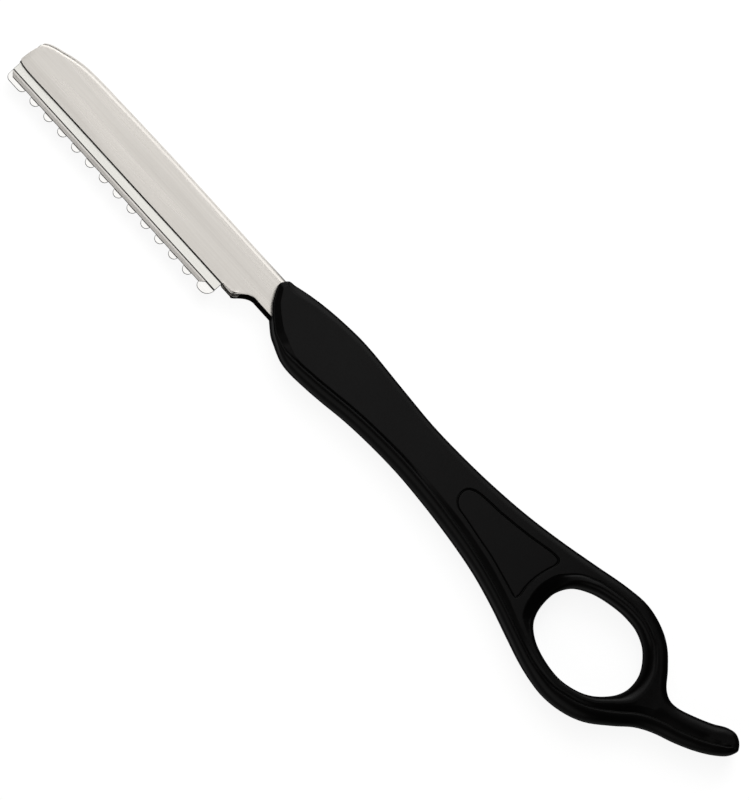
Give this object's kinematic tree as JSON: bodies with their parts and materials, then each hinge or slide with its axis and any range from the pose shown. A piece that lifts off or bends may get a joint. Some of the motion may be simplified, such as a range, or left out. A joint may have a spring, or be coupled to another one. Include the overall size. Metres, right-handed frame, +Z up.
{
  "type": "hair styling razor with finger ring",
  "caption": "Hair styling razor: moulded grip with a finger ring and curled tail, folded steel blade holder and a toothed guard that slides out with its blade.",
  "frame": {"origin": "middle of the bounding box of the razor lying on its flat side, on the surface that it lies on", "axes": "+X from the blade's tip to the handle's tail, +Y from the cutting edge towards the spine, +Z up through the flat faces"},
  "size_m": [0.2172, 0.0308, 0.0078],
  "materials": {
    "black_plastic": "satin black moulded plastic with a fine grain",
    "brushed_steel": "stainless sheet brushed lengthwise",
    "polished_steel": "bright polished stainless sheet",
    "blade_steel": "fine ground blade steel"
  },
  "bodies": {
    "handle": {"handle": "black_plastic", "blade_holder": "brushed_steel"},
    "guard": {"guard_comb": "polished_steel"},
    "blade": {"blade": "blade_steel"}
  },
  "joints": [
    {"name": "guard_slide", "type": "slide", "parent": "handle", "child": "guard", "axis": [-1, 0, 0], "range_m": [0, 0.0665]},
    {"name": "blade_slide", "type": "slide", "parent": "guard", "child": "blade", "axis": [-1, 0, 0], "range_m": [0, 0.0635]}
  ]
}
